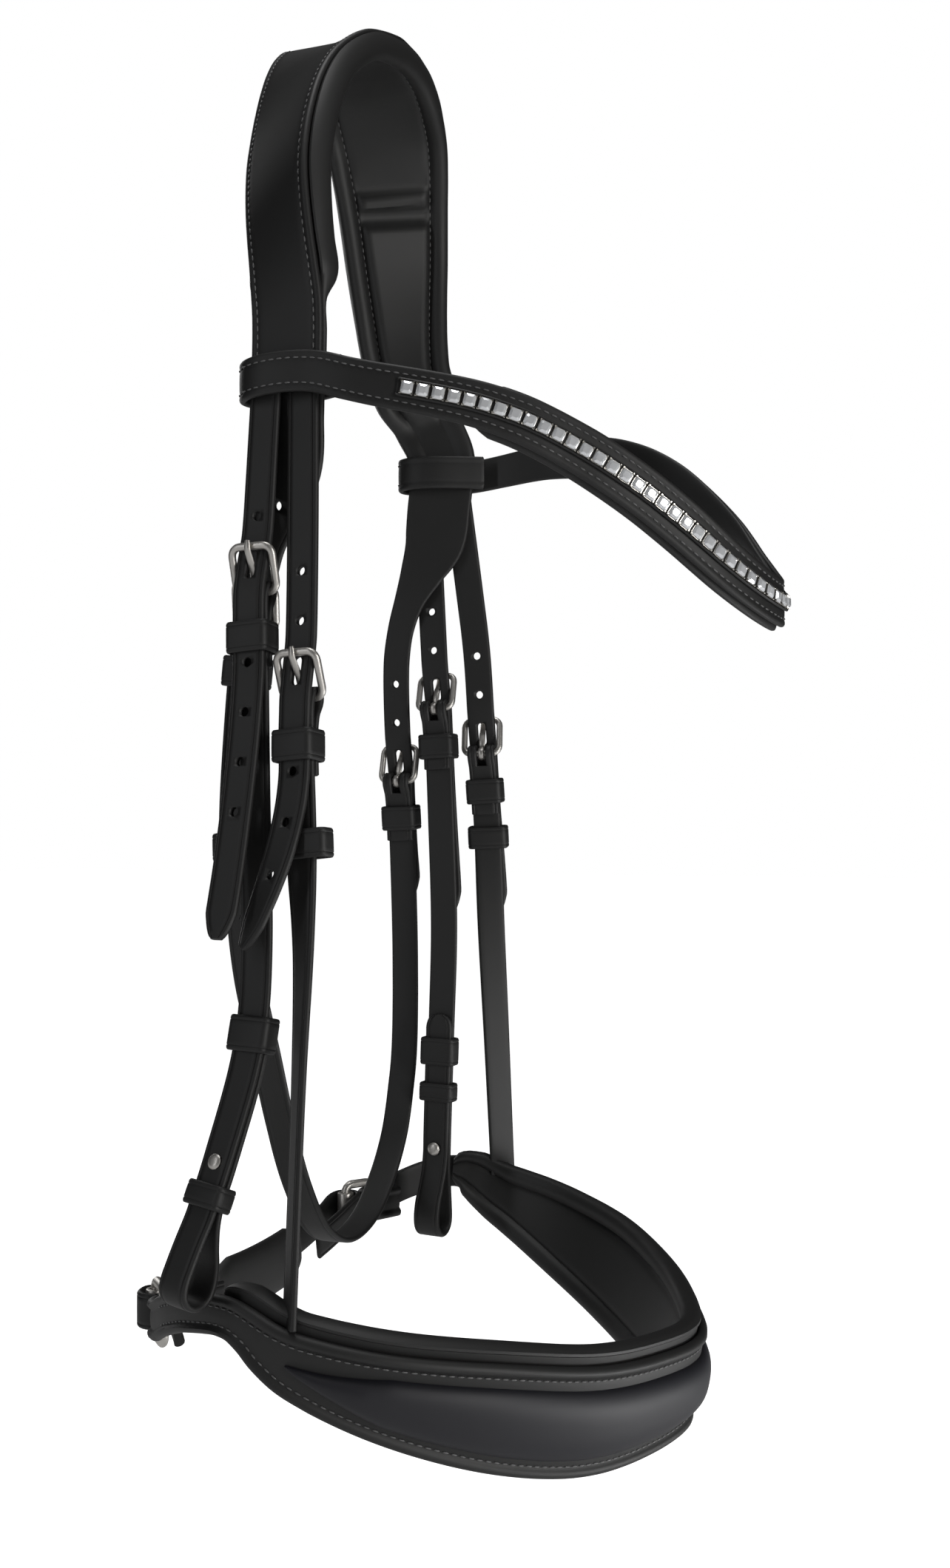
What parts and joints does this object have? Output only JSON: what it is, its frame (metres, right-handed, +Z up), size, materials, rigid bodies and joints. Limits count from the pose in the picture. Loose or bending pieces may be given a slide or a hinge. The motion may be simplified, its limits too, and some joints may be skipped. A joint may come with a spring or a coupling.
{
  "type": "snaffle bridle",
  "caption": "Full-size snaffle bridle: arched crown, curved crystal-set browband, two cheekpieces, throatlash and wide padded noseband on hangers, all joined by buckles and keepers.",
  "frame": {"origin": "middle of the crown's underside, where the poll carries it, in the median plane", "axes": "+X to the horse's left, -Y to the muzzle, +Z up"},
  "size_m": [0.2541, 0.2287, 0.5415],
  "materials": {
    "outer_leather": "semi-gloss smooth black leather, stitched along both edges",
    "strap_leather": "satin black strap leather with creased edges",
    "padding": "soft matte black padded leather",
    "glossy_leather": "polished raised black leather",
    "steel": "polished stainless steel",
    "crystal_channel": "clear cut stones in pale metal settings"
  },
  "bodies": {
    "crown": {"crown_leather": "outer_leather", "crown_lining": "padding", "nose_billet_R": "strap_leather", "nose_buckle_R": "steel", "nose_hanger_R": "strap_leather", "nose_keeper_R": "strap_leather", "nose_billet_L": "strap_leather", "nose_buckle_L": "steel", "nose_hanger_L": "strap_leather", "nose_keeper_L": "strap_leather"},
    "browband": {"browband_strap": "outer_leather", "browband_padding": "padding", "browband_channel": "crystal_channel"},
    "cheek_R": {"cheek_billet_R": "strap_leather", "cheek_buckle_R": "steel", "cheekpiece_R": "strap_leather", "cheek_keeper_R": "strap_leather", "bit_keeper_R": "strap_leather", "hook_stud_R": "steel"},
    "cheek_L": {"cheek_billet_L": "strap_leather", "cheek_buckle_L": "steel", "cheekpiece_L": "strap_leather", "cheek_keeper_L": "strap_leather", "bit_keeper_L": "strap_leather", "hook_stud_L": "steel"},
    "throatlash": {"throatlash_strap": "strap_leather", "throat_billet_R": "strap_leather", "throat_buckle_R": "steel", "throat_keeper_R": "strap_leather", "throat_billet_L": "strap_leather", "throat_buckle_L": "steel", "throat_keeper_L": "strap_leather"},
    "noseband": {"noseband_leather": "outer_leather", "noseband_padding": "padding", "noseband_front": "glossy_leather", "nose_ring_R": "steel", "nose_ring_L": "steel"},
    "roller_R": {"nose_roller_R": "steel"},
    "roller_L": {"nose_roller_L": "steel"},
    "chin": {"chin_strap": "strap_leather", "chin_pad": "padding"},
    "tongue_cheek_R": {"cheek_tongue_R": "steel"},
    "tongue_cheek_L": {"cheek_tongue_L": "steel"},
    "tongue_nose_R": {"nose_tongue_R": "steel"},
    "tongue_nose_L": {"nose_tongue_L": "steel"},
    "tongue_throat_R": {"throat_tongue_R": "steel"},
    "tongue_throat_L": {"throat_tongue_L": "steel"},
    "nose_runner_R": {"nose_runner_R": "strap_leather"},
    "bit_runner_R": {"bit_runner_R": "strap_leather"},
    "nose_runner_L": {"nose_runner_L": "strap_leather"},
    "bit_runner_L": {"bit_runner_L": "strap_leather"},
    "throat_runner_R": {"throat_runner_R": "strap_leather"}
  },
  "joints": [
    {"name": "browband_tilt", "type": "hinge", "parent": "crown", "child": "browband", "pos_m": [0, -0.0128, -0.1475], "axis": [1, 0, 0], "range_deg": [-4, 4]},
    {"name": "cheek_R_swing", "type": "hinge", "parent": "crown", "child": "cheek_R", "pos_m": [-0.0825, -0.0042, -0.16], "axis": [1, 0, 0], "range_deg": [0, 15]},
    {"name": "cheek_L_swing", "type": "hinge", "parent": "crown", "child": "cheek_L", "pos_m": [0.0825, -0.0056, -0.16], "axis": [0, -1, 0], "range_deg": [-1, 2]},
    {"name": "throatlash_swing", "type": "hinge", "parent": "crown", "child": "throatlash", "pos_m": [0, -0.0125, -0.16], "axis": [1, 0, 0], "range_deg": [0, 8]},
    {"name": "noseband_tilt", "type": "hinge", "parent": "crown", "child": "noseband", "pos_m": [0, -0.0305, -0.457], "axis": [1, 0, 0], "range_deg": [-6, 4]},
    {"name": "roller_R_spin", "type": "hinge", "parent": "noseband", "child": "roller_R", "pos_m": [-0.06875, 0.04511, -0.48], "axis": [0, 0, 1], "continuous": true},
    {"name": "roller_L_spin", "type": "hinge", "parent": "noseband", "child": "roller_L", "pos_m": [0.0742, 0.03006, -0.476], "axis": [0, 0, 1], "continuous": true},
    {"name": "chin_swing", "type": "hinge", "parent": "noseband", "child": "chin", "pos_m": [-0.06875, 0.04511, -0.48], "axis": [0.9941, -0.1047, 0.0278], "range_deg": [-4, 4]},
    {"name": "tongue_cheek_R_lift", "type": "hinge", "parent": "cheek_R", "child": "tongue_cheek_R", "pos_m": [-0.08422, -0.00239, -0.22226], "axis": [-0.0685, -0.9976, 0.0133], "range_deg": [0, 8]},
    {"name": "tongue_cheek_L_lift", "type": "hinge", "parent": "cheek_L", "child": "tongue_cheek_L", "pos_m": [0.0812, -0.0098, -0.252], "axis": [-0.0001, 0.9988, -0.0483], "range_deg": [0, 8]},
    {"name": "tongue_nose_R_lift", "type": "hinge", "parent": "crown", "child": "tongue_nose_R", "pos_m": [-0.08824, -0.02219, -0.26024], "axis": [-0.1365, -0.9902, 0.0305], "range_deg": [0, 8]},
    {"name": "tongue_nose_L_lift", "type": "hinge", "parent": "crown", "child": "tongue_nose_L", "pos_m": [0.08923, -0.02939, -0.27219], "axis": [-0.1358, 0.9896, -0.0477], "range_deg": [0, 8]},
    {"name": "tongue_throat_R_lift", "type": "hinge", "parent": "throatlash", "child": "tongue_throat_R", "pos_m": [-0.06771, 0.006, -0.23184], "axis": [0.0101, -0.9848, -0.1735], "range_deg": [0, 8]},
    {"name": "tongue_throat_L_lift", "type": "hinge", "parent": "throatlash", "child": "tongue_throat_L", "pos_m": [0.08572, 0.0098, -0.28433], "axis": [-0.0008, 1, 0.0068], "range_deg": [0, 8]},
    {"name": "nose_runner_R_slide", "type": "slide", "parent": "crown", "child": "nose_runner_R", "axis": [-0.1061, -0.0783, -0.9913], "range_m": [0, 0.002]},
    {"name": "bit_runner_R_slide", "type": "slide", "parent": "cheek_R", "child": "bit_runner_R", "axis": [-0.3405, 0.1837, -0.9221], "range_m": [-0.001, 0]},
    {"name": "nose_runner_L_slide", "type": "slide", "parent": "crown", "child": "nose_runner_L", "axis": [0.1021, -0.0165, -0.9946], "range_m": [-0.002, 0.0006]},
    {"name": "bit_runner_L_slide", "type": "slide", "parent": "cheek_L", "child": "bit_runner_L", "axis": [-0.009, 0.0265, -0.9996], "range_m": [-0.003, 0.002]},
    {"name": "throat_runner_R_slide", "type": "slide", "parent": "throatlash", "child": "throat_runner_R", "axis": [0.0896, 0.0237, -0.9957], "range_m": [-0.002, 0.002]}
  ]
}
